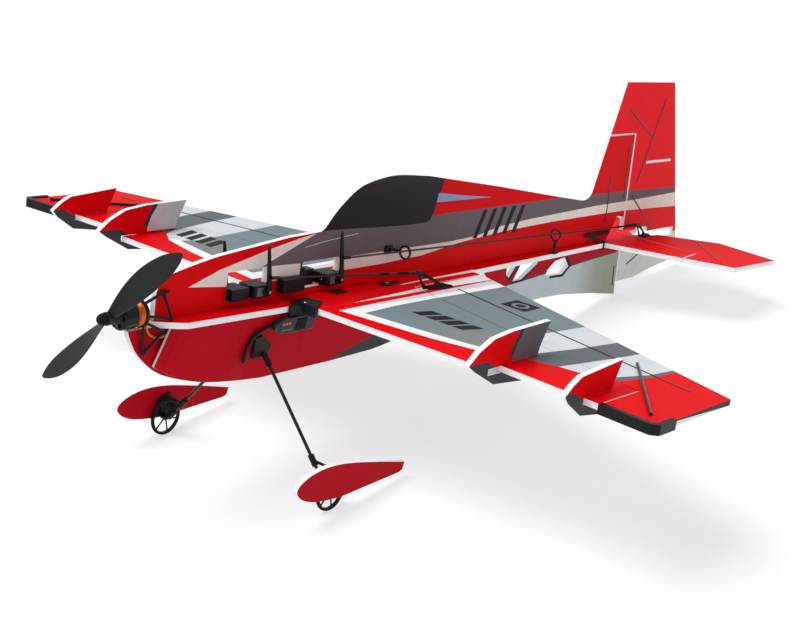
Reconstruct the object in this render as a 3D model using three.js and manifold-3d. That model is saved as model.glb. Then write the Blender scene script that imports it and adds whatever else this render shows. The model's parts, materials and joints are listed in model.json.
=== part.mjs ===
// Flat-foam radio controlled aerobatic aeroplane, 860 mm class, standing on its wheels and tail.
// Millimetres, +Z up, nose towards -Y, the aeroplane's left wing towards +X.
import * as THREE from "three";
import { mergeVertices } from "three/addons/utils/BufferGeometryUtils.js";
import Module from "manifold-3d";

const wasm = await Module();
wasm.setup();

// ---------------------------------------------------------------- driving dimensions
// Airframe axes: x = 0 on the centre plane, z = 0 on the top of the horizontal sheet,
// y = 0 near the wing tip's trailing edge. The whole airframe is pitched nose-up at the end.
const FOAM = 6; // thickness of every main foam sheet
const HALF_FOAM = FOAM / 2;
const GAP = 0.3; // between pieces that touch
const CURVE_STEPS = 8; // straight steps in one curved stretch of an outline
const GROUND_PITCH = 8.49; // degrees, nose-up, when it rests on wheels and tail
const LEFT = 1;
const RIGHT = -1;
const SIDES = { left: LEFT, right: RIGHT };

const HALF_SPAN = 428.5;
const AXIS_DROP = 0.4; // a control surface's edge stands this far from its hinge line

// Wing: the hinge line of the aileron runs straight from the root to the balance notch.
const HINGE_ROOT = { x: 46, y: 18 };
const HINGE_SLOPE = -0.2496;
const ROOT_CUT_X = 38.6; // inner end of the aileron
const NOTCH_X = 366.4; // outer end of the fixed wing
const hingeY = (x) => HINGE_ROOT.y + HINGE_SLOPE * (x - HINGE_ROOT.x);
const TRAILING = { x: 79.6, y: 126.1, slope: -0.3545 };
const trailingY = (x) => TRAILING.y + TRAILING.slope * (x - TRAILING.x);

// Tail
const ELEVATOR_HINGE_Y = 535;
const STAB_TIP_FRONT = [105.6, 490.4];
const STAB_TIP_REAR_X = 100.3;
const RUDDER_HINGE = { y: 507.5, slope: -0.074 }; // the rudder's hinge leans back slightly
const rudderHingeY = (z) => RUDDER_HINGE.y + RUDDER_HINGE.slope * z;
const FIN_TOP_Z = 139.5;

// Motor and propeller
const THRUST_Z = 8.5;
const MOTOR_PLATE_Y = -342;
const PROP_PLANE_Y = -378;
const PROP_RADIUS = 117;
const PROP_ANGLE = 45; // degrees from +X at rest

// Undercarriage
const WHEEL_RADIUS = 20;
const WHEEL_WIDTH = 4.6;
const WHEEL_X = 118.2;
const AXLE = { y: -179.5, z: -162.8 };
const PANT_X = 124.2; // inner face of the foam wheel pant
const STRUT_TOP = [14.4, -186, -47];
const STRUT_END = [113.6, -179.5, -162.8];
const STRUT_RADIUS = 1.75;

// Control linkage
const ARM_LEAN = 9; // degrees forward of the servo arms and control horns
const SERVO_SHAFT_X = 14.5; // outer end of a servo's output boss
const ARM_X = 14.8; // inner face of a servo arm
const ARM_THICKNESS = 1.8;
const ROD_RADIUS = 1.1;
const AILERON_LINK = { servoY: -187, servoZ: 13.4, armRadius: 16, armLength: 49, hornX: 47, hornRadius: 19 };
const ELEVATOR_LINK = { servoY: -79, servoZ: 13.4, armRadius: 25, armLength: 54, hornX: 12.4, hornRadius: 18 };
const RUDDER_LINK = { servoX: -9.6, servoY: -118, armZ: 31.5, radius: 18, hornZ: 54 };

// ---------------------------------------------------------------- materials
const finish = (color, roughness = 0.6, metalness = 0) =>
  new THREE.MeshStandardMaterial({ color, roughness, metalness });
const redFoam = () => finish(0xd3121c, 0.45);
const darkRedFoam = () => finish(0x9c0f1c, 0.45);
const blackPlastic = () => finish(0x16171a, 0.5);
const carbon = () => finish(0x202226, 0.35);
const rubber = () => finish(0x17181a, 0.8);
const copperWire = () => finish(0xb4561f, 0.4, 0.6);

// ---------------------------------------------------------------- geometry helpers
const v3 = (p) => new THREE.Vector3(...p);
const radians = THREE.MathUtils.degToRad;

// A closed geometry as a manifold solid.
function solidOf(geometry) {
  const bare = geometry.clone();
  bare.deleteAttribute("normal");
  bare.deleteAttribute("uv");
  const merged = mergeVertices(bare, 1e-4);
  return new wasm.Manifold(
    new wasm.Mesh({
      numProp: 3,
      vertProperties: merged.attributes.position.array,
      triVerts: new Uint32Array(merged.index.array),
    }),
  );
}

function geometryOf(solid) {
  const mesh = solid.getMesh();
  const geometry = new THREE.BufferGeometry();
  geometry.setAttribute("position", new THREE.BufferAttribute(mesh.vertProperties, 3));
  geometry.setIndex(new THREE.BufferAttribute(mesh.triVerts, 1));
  geometry.computeVertexNormals();
  return geometry;
}

const join = (...geometries) => geometryOf(geometries.map(solidOf).reduce((a, b) => a.add(b)));
const cut = (body, ...tools) => geometryOf(tools.map(solidOf).reduce((a, b) => a.subtract(b), solidOf(body)));

// The points of an outline, given as [a, b] pairs or as a curved shape, wound the way asked for.
function wound(outline, clockwise) {
  const curved = outline instanceof THREE.Shape;
  const points = curved ? outline.getPoints(CURVE_STEPS) : outline.map(([a, b]) => new THREE.Vector2(a, b));
  return THREE.ShapeUtils.isClockWise(points) === clockwise ? points : points.reverse();
}

// A flat sheet lying in the x-y plane, from height z upwards.
function flatSheet(outline, z, thickness, holes = []) {
  const shape = new THREE.Shape(wound(outline, false));
  shape.holes = holes.map((hole) => new THREE.Path(wound(hole, true)));
  return new THREE.ExtrudeGeometry(shape, { depth: thickness, bevelEnabled: false }).translate(0, 0, z);
}

// A sheet standing in the y-z plane, from x towards +x. Points are [y, z].
function uprightSheet(points, x, thickness, holes = []) {
  const geometry = flatSheet(points, 0, thickness, holes);
  const turn = new THREE.Matrix4().makeBasis(v3([0, 1, 0]), v3([0, 0, 1]), v3([1, 0, 0]));
  return geometry.applyMatrix4(turn).translate(x, 0, 0);
}

// The same sheet on either side of the centre plane: x is the distance of its inner face.
const sideSheet = (side, points, x, thickness, holes) =>
  uprightSheet(points, side === LEFT ? x : -x - thickness, thickness, holes);

const block = (low, high) =>
  new THREE.BoxGeometry(high[0] - low[0], high[1] - low[1], high[2] - low[2]).translate(
    (low[0] + high[0]) / 2,
    (low[1] + high[1]) / 2,
    (low[2] + high[2]) / 2,
  );

// A block given for the left side, put on either side.
const sideBlock = (side, low, high) =>
  side === LEFT ? block(low, high) : block([-high[0], low[1], low[2]], [-low[0], high[1], high[2]]);

// A round rod between two points.
function rod(from, to, radius, segments = 10, endRadius = radius) {
  const a = v3(from);
  const b = v3(to);
  const along = b.clone().sub(a);
  const geometry = new THREE.CylinderGeometry(endRadius, radius, along.length(), segments);
  const turn = new THREE.Quaternion().setFromUnitVectors(new THREE.Vector3(0, 1, 0), along.normalize());
  const middle = a.add(b).multiplyScalar(0.5);
  return geometry.applyQuaternion(turn).translate(middle.x, middle.y, middle.z);
}

// Turns the faces of a closed surface outward.
function outward(geometry) {
  const faces = geometry.index ? geometry.toNonIndexed() : geometry;
  const p = faces.attributes.position;
  const at = (i) => new THREE.Vector3().fromBufferAttribute(p, i);
  let volume = 0;
  for (let i = 0; i < p.count; i += 3) {
    volume += at(i).dot(at(i + 1).cross(at(i + 2)));
  }
  for (let i = 0; volume < 0 && i < p.count; i += 3) {
    const [b, c] = [at(i + 1), at(i + 2)];
    p.setXYZ(i + 1, c.x, c.y, c.z);
    p.setXYZ(i + 2, b.x, b.y, b.z);
  }
  return faces;
}

// A body of revolution about a line along y. The profile is [radius, y] pairs that start and end on the axis.
function turnedAlongY(profile, segments, x, z) {
  const points = profile.map(([r, y]) => new THREE.Vector2(r, y));
  return outward(new THREE.LatheGeometry(points, segments)).translate(x, 0, z);
}

// A tube along a smooth curve.
function cable(points, radius, steps, sides = 8) {
  const section = new THREE.Shape();
  for (let i = 0; i < sides; i++) {
    const angle = (2 * Math.PI * i) / sides;
    section[i ? "lineTo" : "moveTo"](radius * Math.cos(angle), radius * Math.sin(angle));
  }
  const path = new THREE.CatmullRomCurve3(points.map(v3), false, "centripetal");
  return new THREE.ExtrudeGeometry(section, { steps, bevelEnabled: false, extrudePath: path });
}

// A closed skin through rings of points, each ring with the same number of points.
function loft(rings) {
  const around = rings[0].length;
  const positions = rings.flat(2);
  const index = [];
  for (let i = 0; i + 1 < rings.length; i++) {
    for (let j = 0; j < around; j++) {
      const a = i * around + j;
      const b = i * around + ((j + 1) % around);
      index.push(a, b, b + around, a, b + around, a + around);
    }
  }
  const last = (rings.length - 1) * around;
  for (let j = 1; j + 1 < around; j++) {
    index.push(0, j + 1, j, last, last + j, last + j + 1);
  }
  const geometry = new THREE.BufferGeometry();
  geometry.setAttribute("position", new THREE.Float32BufferAttribute(positions, 3));
  geometry.setIndex(index);
  return outward(geometry);
}

const mirrored = (points, side) => points.map(([x, y]) => [side * x, y]);
const bothHalves = (half) => [...half, ...half.map(([x, y]) => [-x, y]).reverse()];

// ---------------------------------------------------------------- the model's tree
const airframe = new THREE.Group();

function add(name, geometry, material) {
  const mesh = new THREE.Mesh(geometry, material);
  mesh.name = name;
  airframe.add(mesh);
  return mesh;
}

// ---------------------------------------------------------------- foam airframe
const WING_ROOT_FRONT_Y = -147.5;
const STEP_X = 250; // the leading edge steps back outboard of the inner side plates
const NOSE_HALF = [
  [6, -328],
  [19.5, -308],
  [23.3, -300.6],
  [27.7, -166],
];

function addHorizontalSheet() {
  const left = [
    ...NOSE_HALF,
    [28.2, WING_ROOT_FRONT_Y],
    [STEP_X - 0.5, -143.6],
    [STEP_X, -122.5],
    [NOTCH_X, -130],
    [NOTCH_X, hingeY(NOTCH_X) - AXIS_DROP],
    [ROOT_CUT_X - 1.2, hingeY(ROOT_CUT_X) - AXIS_DROP],
    [ROOT_CUT_X - 1.2, trailingY(ROOT_CUT_X)],
    [22.5, 141.5],
    [12.2, 452.2],
    STAB_TIP_FRONT,
    [STAB_TIP_REAR_X, ELEVATOR_HINGE_Y - AXIS_DROP],
  ];
  add("horizontal_sheet", flatSheet(bothHalves(left), -FOAM, FOAM), redFoam());
}

// Side profile above the horizontal sheet: nose, canopy, spine and fin in one sheet.
const SERVO_BAY_FRONT = { y0: -234.8, y1: -180, z0: 7, z1: 35.4 };
const SERVO_BAY_REAR = { y0: -131, y1: -72.4, z0: 6.8, z1: 34.6 };
const bayHole = ({ y0, y1, z0, z1 }) => [
  [y0, z0],
  [y1, z0],
  [y1, z1],
  [y0, z1],
];

function upperProfile() {
  const shape = new THREE.Shape();
  shape.moveTo(469, GAP);
  shape.lineTo(-326, GAP);
  shape.lineTo(-326, 24);
  shape.quadraticCurveTo(-325, 37, -308.5, 42.7);
  shape.quadraticCurveTo(-280, 49, -248, 53.5);
  shape.lineTo(-152, 62.5);
  shape.lineTo(-107, 64.1);
  shape.quadraticCurveTo(-101, 65, -97, 70);
  const canopy = [
    [-80.5, 87.1],
    [-52.4, 106.1],
    [-21.3, 113.7],
    [11.8, 115.9],
    [65.3, 111.5],
  ];
  shape.splineThru(canopy.map(([y, z]) => new THREE.Vector2(y, z)));
  shape.lineTo(203.9, 90.2);
  shape.lineTo(338.8, 67.7);
  shape.lineTo(390, 59.6);
  shape.quadraticCurveTo(411, 56.5, 415.2, 72.5);
  shape.lineTo(434.6, FIN_TOP_Z);
  shape.lineTo(rudderHingeY(FIN_TOP_Z) - AXIS_DROP, FIN_TOP_Z);
  shape.lineTo(rudderHingeY(28.5) - AXIS_DROP, 28.5);
  shape.lineTo(487, 31);
  return shape;
}

function addUpperFuselage() {
  const holes = [SERVO_BAY_FRONT, SERVO_BAY_REAR].map(bayHole);
  add("upper_fuselage", uprightSheet(upperProfile(), -HALF_FOAM, FOAM, holes), redFoam());
}

// Side profile below the horizontal sheet, down to the tail corner that the aeroplane rests on.
const BELLY = [
  [-353, -14.7],
  [-342.7, -30.7],
  [-322, -48.8],
  [-298, -60.3],
  [-257, -71.9],
  [-215.5, -78.1],
  [-172, -81.8],
];
const BELLY_REAR = [
  [-65, -81],
  [4.3, -78.8],
  [34.7, -74.6],
  [331, -62],
  [377.6, -63.2],
  [452, -70.5],
  [515, -79.3],
];
const UNDER = -FOAM - GAP;
const LOWER_HOLES = [
  [[128, -16], [196, -12], [207, -22], [200, -34], [134, -38]],
  [[246, -12], [266, -11.5], [252.5, -27], [246, -22]],
  [[276, -11.5], [309, -11], [313, -14.5], [280, -32], [262, -32]],
  [[338, -26], [352, -16], [374, -13.5], [386, -26.5], [373, -35.5], [334, -34.5]],
];

function bellyZ(y) {
  const points = [[-356.4, UNDER], ...BELLY, ...BELLY_REAR];
  const i = points.findIndex(([py]) => py > y);
  const [y0, z0] = points[i - 1];
  const [y1, z1] = points[i];
  return z0 + ((z1 - z0) * (y - y0)) / (y1 - y0);
}

function addLowerFuselage() {
  const shape = new THREE.Shape();
  shape.moveTo(rudderHingeY(UNDER) - AXIS_DROP, UNDER);
  shape.lineTo(-356.4, UNDER);
  shape.splineThru(BELLY.map(([y, z]) => new THREE.Vector2(y, z)));
  BELLY_REAR.forEach(([y, z]) => shape.lineTo(y, z));
  shape.lineTo(rudderHingeY(-62), -62);
  shape.lineTo(rudderHingeY(-62) - AXIS_DROP, -60);
  add("lower_fuselage", uprightSheet(shape, -HALF_FOAM, FOAM, LOWER_HOLES), darkRedFoam());
}

// Belly cheeks: thin foam skins from the edge of the horizontal sheet down to the keel.
const CHEEK_THICKNESS = 3;
const CHEEK_REAR_Y = 60;
const CHEEK_TOP = [
  [12, -311],
  [19.6, -298],
  [24.4, -166],
  [25.4, CHEEK_REAR_Y],
];
const CHEEK_KEEL_X = 7;
const CHEEK_STATIONS = 22;

function cheekTopX(y) {
  const i = Math.max(1, CHEEK_TOP.findIndex(([, py]) => py >= y - 1e-6));
  const [x0, y0] = CHEEK_TOP[i - 1];
  const [x1, y1] = CHEEK_TOP[i];
  return x0 + ((x1 - x0) * (y - y0)) / (y1 - y0);
}

// Outer face of the left cheek at a place along it, at height z.
function cheekX(y, z) {
  const top = cheekTopX(Math.max(y, CHEEK_TOP[0][1]));
  const keelZ = bellyZ(y) + 2.2;
  const seatZ = UNDER - GAP;
  return top + ((CHEEK_KEEL_X - top) * (z - seatZ)) / (keelZ - seatZ);
}

function addCheeks() {
  for (const [label, side] of Object.entries(SIDES)) {
    const rings = [];
    for (let i = 0; i <= CHEEK_STATIONS; i++) {
      const share = (i / CHEEK_STATIONS) ** 1.5;
      const topY = THREE.MathUtils.lerp(CHEEK_TOP[0][1], CHEEK_REAR_Y, share);
      const keelY = THREE.MathUtils.lerp(-324, CHEEK_REAR_Y, share);
      const top = v3([cheekTopX(topY), topY, UNDER - GAP]);
      const keel = v3([CHEEK_KEEL_X, keelY, bellyZ(keelY) + 2.2]);
      const down = keel.clone().sub(top).setY(0).normalize();
      const inward = new THREE.Vector3(down.z, 0, -down.x).multiplyScalar(CHEEK_THICKNESS);
      const topInner = top.clone().addScaledVector(inward, 1).setZ(top.z);
      const keelInner = keel.clone().add(inward);
      const ring = [top, keel, keelInner, topInner];
      rings.push(ring.map((p) => [side * p.x, p.y, p.z]));
    }
    add(label + "_cheek", loft(rings), darkRedFoam());
  }
}

// A long wedge that bevels the underside of a control surface's leading edge along a hinge line.
function hingeBevel(from, to) {
  const a = new THREE.Vector3(...from, 0);
  const along = new THREE.Vector3(to[0] - from[0], to[1] - from[1], 0);
  const length = along.length();
  along.normalize();
  const aft = new THREE.Vector3(-along.y, along.x, 0);
  const section = [
    [-10, 1],
    [AXIS_DROP - 1, 1],
    [AXIS_DROP + FOAM + 1, -FOAM - 1],
    [-10, -FOAM - 1],
  ];
  const wedge = flatSheet(section, 0, length);
  const turn = new THREE.Matrix4().makeBasis(aft, v3([0, 0, 1]), along);
  return wedge.applyMatrix4(turn).translate(a.x, a.y, 0);
}

const BALANCE_FRONT_Y = -131;
function addAilerons() {
  for (const [label, side] of Object.entries(SIDES)) {
    const outline = [
      [ROOT_CUT_X, hingeY(ROOT_CUT_X) + AXIS_DROP],
      [ROOT_CUT_X, trailingY(ROOT_CUT_X)],
      [HALF_SPAN, trailingY(HALF_SPAN)],
      [HALF_SPAN, BALANCE_FRONT_Y - 1],
      [HALF_SPAN - 5, BALANCE_FRONT_Y - 5],
      [NOTCH_X + 1.4, BALANCE_FRONT_Y],
      [NOTCH_X + 1.4, hingeY(NOTCH_X) + AXIS_DROP],
    ];
    const sheet = flatSheet(mirrored(outline, side), -FOAM, FOAM);
    const inner = [side * (ROOT_CUT_X - 5), hingeY(ROOT_CUT_X - 5)];
    const outer = [side * (NOTCH_X + 1.2), hingeY(NOTCH_X + 1.2)];
    const bevel = side === LEFT ? hingeBevel(inner, outer) : hingeBevel(outer, inner);
    add(label + "_aileron", cut(sheet, bevel), redFoam());
  }
}

function addElevator() {
  const left = [
    [4.2, 543.5],
    [4.6, 549],
    [12.2, 554],
    [16.4, 582.4],
    [85.2, 634],
    [172.7, 622.4],
    [167.8, 517.9],
    [STAB_TIP_FRONT[0] + 2.4, STAB_TIP_FRONT[1] + 1.6],
    [STAB_TIP_REAR_X + 2.2, ELEVATOR_HINGE_Y + AXIS_DROP],
  ];
  const outline = [...left, ...left.map(([x, y]) => [-x, y]).reverse()];
  const bevelReach = STAB_TIP_REAR_X + 2;
  const bevel = hingeBevel([-bevelReach, ELEVATOR_HINGE_Y], [bevelReach, ELEVATOR_HINGE_Y]);
  add("elevator", cut(flatSheet(outline, -FOAM, FOAM), bevel), redFoam());
}

// The rudder is notched around the tailplane. A strip at its trailing edge joins its two halves.
function addRudder() {
  const front = (z) => rudderHingeY(z) + AXIS_DROP;
  const outline = [
    [front(10), 10],
    [front(FIN_TOP_Z + 2), FIN_TOP_Z + 2],
    [435.6, FIN_TOP_Z + 2],
    [455.6, 208.9],
    [578.8, 206.5],
    [657.6, -5],
    [670, -42],
    [649, -46.4],
    [603, -52.3],
    [557, -60.7],
    [front(-62), -62],
    [front(-16), -16],
    [572, -16],
    [575, -9],
    [648, -9],
    [648, 2.8],
    [575, 2.8],
    [572, 10],
  ];
  const sheet = uprightSheet(outline, -HALF_FOAM, FOAM);
  const bevels = [LEFT, RIGHT].map(rudderBevel);
  add("rudder", cut(sheet, ...bevels), redFoam());
}

// A long wedge that takes one corner off the rudder's leading edge, so that it can swing to that side.
function rudderBevel(side) {
  const nose = 0.6; // half the width left along the hinge line
  const section = [
    [AXIS_DROP - 1, side * (nose - 1)],
    [AXIS_DROP + FOAM, side * (nose + FOAM)],
    [-8, side * (nose + FOAM)],
    [-8, side * (nose - 1)],
  ];
  const low = -70;
  const high = FIN_TOP_Z + 1;
  const wedge = flatSheet(section, 0, high - low);
  const up = v3([0, RUDDER_HINGE.slope, 1]);
  const turn = new THREE.Matrix4().makeBasis(v3([0, 1, 0]), v3([1, 0, 0]), up);
  return outward(wedge.applyMatrix4(turn).translate(0, rudderHingeY(low), low));
}

// Side force plates stand on the wing's leading edge. A slot from behind straddles the wing.
const SIDE_PLATES = {
  inner: {
    x: 252.6,
    outline: [
      [-177, 8], [-163, 19], [-141, 29], [-112, 32.5], [-50, 34.2],
      [-62, 10], [-66, -FOAM - GAP - 3], [-80, -21], [-133, -16.2], [-168, 2],
    ],
    slot: [-141.5, -30],
  },
  outer: {
    x: 348,
    outline: [
      [-163, 7], [-151, 16], [-139, 22], [-71, 27.6],
      [-82, 3], [-86, -FOAM - GAP - 3], [-98, -21], [-132, -16.2], [-157, 0],
    ],
    slot: [-127.2, -60],
  },
};

function addSidePlates() {
  for (const [label, side] of Object.entries(SIDES)) {
    for (const [place, plate] of Object.entries(SIDE_PLATES)) {
      const [front, rear] = plate.slot;
      const low = [plate.x - FOAM, front - 3.2, -FOAM - GAP];
      const high = [plate.x + FOAM, rear, GAP];
      const body = sideSheet(side, plate.outline, plate.x - HALF_FOAM, FOAM);
      const name = label + "_" + place + "_side_plate";
      add(name, cut(body, sideBlock(side, low, high)), redFoam());
    }
  }
}

// Hard plastic channel around the front corner of each wing tip.
function addTipGuards() {
  const wall = 2.2;
  const f = BALANCE_FRONT_Y;
  const tip = HALF_SPAN;
  const band = [
    [NOTCH_X + 1.4, f - GAP - wall],
    [tip - 4.6, f - 5 - GAP - wall],
    [tip + GAP + wall, f - 1.6],
    [tip + GAP + wall, f + 27],
    [tip - 3.2, f + 27],
    [tip - 3.2, f + 1.4],
    [tip - 7.4, f - 1],
    [NOTCH_X + 1.4, f + 4],
  ];
  const foam = [
    [NOTCH_X - 5, f - GAP + 0.6],
    [tip - 5, f - 5 - GAP],
    [tip + GAP, f - 1.2],
    [tip + GAP, f + 40],
    [NOTCH_X - 5, f + 40],
  ];
  for (const [label, side] of Object.entries(SIDES)) {
    const outer = flatSheet(mirrored(band, side), -FOAM - GAP - 2, FOAM + 2 * GAP + 3.4);
    const inner = flatSheet(mirrored(foam, side), -FOAM - GAP, FOAM + 2 * GAP);
    add(label + "_tip_guard", cut(outer, inner), blackPlastic());
  }
}

// Carbon stiffener laid across each aileron's balance horn.
function addAileronStiffeners() {
  for (const [label, side] of Object.entries(SIDES)) {
    const z = GAP + 1.6;
    const inner = [side * 323.6, 8.5, z];
    const outer = [side * 410.4, -114.8, z];
    add(label + "_aileron_stiffener", rod(inner, outer, 1.6, 8), carbon());
  }
}

// ---------------------------------------------------------------- motor and propeller
function addMotorMount() {
  const plate = MOTOR_PLATE_Y;
  const parts = [rod([0, plate - 1.3, THRUST_Z], [0, plate + 1.3, THRUST_Z], 13.4, 24)];
  const legX = 5.2;
  for (const side of [LEFT, RIGHT]) {
    const top = [side * legX, -319, 27];
    const bottom = [side * legX, plate + 3, -31];
    const edge = [side * 12.4, -312, 2.2];
    const edgeUnder = [side * 12.4, -321, UNDER - 1.9];
    parts.push(
      rod([side * legX, plate, THRUST_Z + 10], top, 1.5, 8),
      rod([side * 11.5, plate, THRUST_Z], edge, 1.5, 8),
      rod(top, edge, 1.5, 8),
      rod([side * 7, plate, THRUST_Z - 9], bottom, 1.3, 8),
      rod([side * 10.8, plate, THRUST_Z - 6.5], edgeUnder, 1.3, 8),
      rod(edgeUnder, bottom, 1.5, 8),
      rod([side * legX, -313, 27], [side * legX, -322, 27], 1.7, 8),
    );
  }
  add("motor_mount", join(...parts), blackPlastic());
}

function addMotor() {
  const base = MOTOR_PLATE_Y - 1.3 - GAP;
  const coreFront = -364.5;
  const windings = [
    [0, coreFront],
    [9.6, coreFront],
    [10.6, coreFront + 2],
    [10.6, base - 5],
    [9.2, base - 3],
    [12, base - 2.6],
    [12, base],
    [0, base],
  ];
  add("motor_stator", turnedAlongY(windings, 24, 0, THRUST_Z), copperWire());

  const bellFront = coreFront - 3.4;
  const bell = [
    [0, bellFront + 2.6],
    [11.2, bellFront + 2.6],
    [11.2, -352.5],
    [12.9, -352.5],
    [12.9, bellFront + 1.6],
    [11.6, bellFront],
    [5, bellFront - 0.6],
    [5, PROP_PLANE_Y + 4.9],
    [0, PROP_PLANE_Y + 4.9],
  ];
  const windows = [];
  const windowCount = 6;
  for (let i = 0; i < windowCount; i++) {
    const angle = (2 * Math.PI * i) / windowCount;
    const at = [8.6 * Math.cos(angle), 0, THRUST_Z + 8.6 * Math.sin(angle)];
    windows.push(rod([at[0], bellFront - 3, at[2]], [at[0], bellFront + 3.4, at[2]], 2.2, 8));
  }
  add("motor_bell", cut(turnedAlongY(bell, 28, 0, THRUST_Z), ...windows), blackPlastic());
}

// Chord and thickness shares round a blade's section.
const BLADE_SECTION = [
  [-0.5, 0],
  [-0.3, 0.42],
  [0.05, 0.5],
  [0.35, 0.25],
  [0.5, 0],
  [0.35, -0.2],
  [0.05, -0.34],
  [-0.3, -0.34],
];

// One twisted blade along +X, thrust axis along Y.
function bladeGeometry() {
  const stations = 13;
  const rings = [];
  for (let i = 0; i <= stations; i++) {
    const share = i / stations;
    const radius = THREE.MathUtils.lerp(3.5, PROP_RADIUS, share);
    const width = 9 + 16.5 * Math.sin(Math.PI * Math.min(1, share * 0.86 + 0.02)) ** 0.9;
    const taper = Math.sqrt(Math.max(0.03, 1 - Math.max(0, (share - 0.82) / 0.18) ** 2.2));
    const chord = width * taper;
    const thickness = 3.4 - 2.3 * share;
    const pitch = Math.atan2(24, radius + 14);
    const sweep = 3.4 * Math.sin(Math.PI * share) - 2 * share;
    const ring = [];
    for (const [c, t] of BLADE_SECTION) {
      const across = c * chord;
      const normal = t * thickness;
      const z = -across * Math.cos(pitch) + normal * Math.sin(pitch) + sweep;
      const y = across * Math.sin(pitch) + normal * Math.cos(pitch);
      ring.push([radius, y, z]);
    }
    rings.push(ring);
  }
  return loft(rings);
}

function addPropeller() {
  const hub = rod([0, 4.6, 0], [0, -4.6, 0], 6.4, 20);
  const opposite = bladeGeometry().rotateY(Math.PI);
  const whole = join(bladeGeometry(), opposite, hub);
  whole.rotateY(-radians(PROP_ANGLE)).translate(0, PROP_PLANE_Y, THRUST_Z);
  add("propeller", whole, blackPlastic());
  const front = PROP_PLANE_Y - 4.6 - GAP;
  const nut = [
    [0, front],
    [5.6, front],
    [5.6, front - 3],
    [4.2, front - 6.2],
    [2.2, front - 7.6],
    [0, front - 7.6],
  ];
  add("prop_retainer", turnedAlongY(nut, 16, 0, THRUST_Z), blackPlastic());
}

// ---------------------------------------------------------------- electronics
function addElectronics() {
  // The speed controller lies flat on the left cheek.
  const tilt = Math.atan2(cheekTopX(-160) - CHEEK_KEEL_X, UNDER - bellyZ(-160));
  const escLength = 44;
  const escHeight = 18;
  const escThickness = 7;
  const controller = new THREE.Shape();
  controller.moveTo(-escLength / 2 - 14, -3);
  controller.lineTo(-escLength / 2, -escHeight / 2);
  controller.lineTo(escLength / 2, -escHeight / 2);
  controller.lineTo(escLength / 2, escHeight / 2);
  controller.lineTo(-escLength / 2, escHeight / 2);
  controller.lineTo(-escLength / 2 - 14, 3);
  const escMiddle = { y: -151, z: -18.6 };
  const esc = uprightSheet(controller, 0, escThickness).rotateY(tilt);
  esc.translate(cheekX(escMiddle.y, escMiddle.z) + 0.5, escMiddle.y, escMiddle.z);
  add("speed_controller", esc, blackPlastic());

  add("receiver", block([3.4, -164, 8], [14, -133, 22]), blackPlastic());
  add("battery", block([-14.2, -152, -33], [-3.6, -94, -8.6]), finish(0x2a3f66, 0.5));
}

// The right aileron's servo sits this far ahead of the left one.
const RIGHT_SERVO_STEP = 30;

// A servo with its shaft along x: case, mounting ears against the fuselage sheet and output boss.
function sideServo(side, shaftY, shaftZ) {
  const rear = shaftY + 6.2;
  const front = rear - 23;
  const half = 6;
  const ears = sideBlock(side, [HALF_FOAM + 0.4, front - 4.4, shaftZ - half], [5, rear + 4.4, shaftZ + half]);
  const body = sideBlock(side, [-10.5, front, shaftZ - half], [11.4, rear, shaftZ + half]);
  const head = rod([side * 11, shaftY, shaftZ], [side * 13, shaftY, shaftZ], 5.8, 16);
  const boss = rod([side * 12.5, shaftY, shaftZ], [side * SERVO_SHAFT_X, shaftY, shaftZ], 2.6, 12);
  return join(body, ears, head, boss);
}

function addServos() {
  const { servoY, servoZ } = AILERON_LINK;
  add("left_aileron_servo", sideServo(LEFT, servoY, servoZ), blackPlastic());
  add("right_aileron_servo", sideServo(RIGHT, servoY - RIGHT_SERVO_STEP, servoZ), blackPlastic());
  add("elevator_servo", sideServo(LEFT, ELEVATOR_LINK.servoY, ELEVATOR_LINK.servoZ), blackPlastic());
  const { servoX, servoY: y, armZ } = RUDDER_LINK;
  const x = servoX;
  const rudderServo = join(
    block([x - 6, y - 6.2, GAP], [x + 6, y + 16.8, 23]),
    block([x - 6, y - 10.6, 15.4], [x + 6, y + 21.2, 17]),
    rod([x, y, 22], [x, y, 25.6], 5.8, 16),
    rod([x, y, 25], [x, y, armZ - 1.2], 2.6, 12),
  );
  add("rudder_servo", rudderServo, blackPlastic());
}

// ---------------------------------------------------------------- control linkage
// Unit vector up along the servo arms and horns.
const LEAN = v3([0, -Math.sin(radians(ARM_LEAN)), Math.cos(radians(ARM_LEAN))]);
const leaned = (y, z, distance) => [y + LEAN.y * distance, z + LEAN.z * distance];

// A tapered servo arm in the y-z plane.
function servoArm(side, shaftY, shaftZ, length) {
  const base = 3.4;
  const tip = 1.3;
  const sideways = (share) => THREE.MathUtils.lerp(base, tip, share);
  const shape = [];
  for (const [share, sign] of [[0, 1], [0.93, 1], [1, 0], [0.93, -1], [0, -1]]) {
    const [y, z] = leaned(shaftY, shaftZ, length * share);
    const offset = sign * sideways(share);
    shape.push([y + offset * LEAN.z, z - offset * LEAN.y]);
  }
  const [lowY, lowZ] = leaned(shaftY, shaftZ, -3);
  shape.push([lowY - 1.6, lowZ], [lowY + 1.6, lowZ]);
  return sideSheet(side, shape, ARM_X, ARM_THICKNESS);
}

// A fork of two thin prongs ahead of a joint, on the end of a pushrod that comes from -y.
function fork(at, direction, spread) {
  const along = direction.clone().normalize();
  const across = spread.clone().addScaledVector(along, -spread.dot(along)).normalize();
  const height = new THREE.Vector3().crossVectors(across, along);
  const turn = new THREE.Matrix4().makeBasis(across, along, height);
  const prongs = [-1, 1].map((s) => {
    const inner = s < 0 ? -2.3 : 1.1;
    return block([inner, -8.6, -1.6], [inner + 1.2, 1.8, 1.6]);
  });
  const bridge = block([-2.3, -10.4, -1.6], [2.3, -8, 1.6]);
  return join(...prongs, bridge).applyMatrix4(turn).translate(...at);
}

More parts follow.
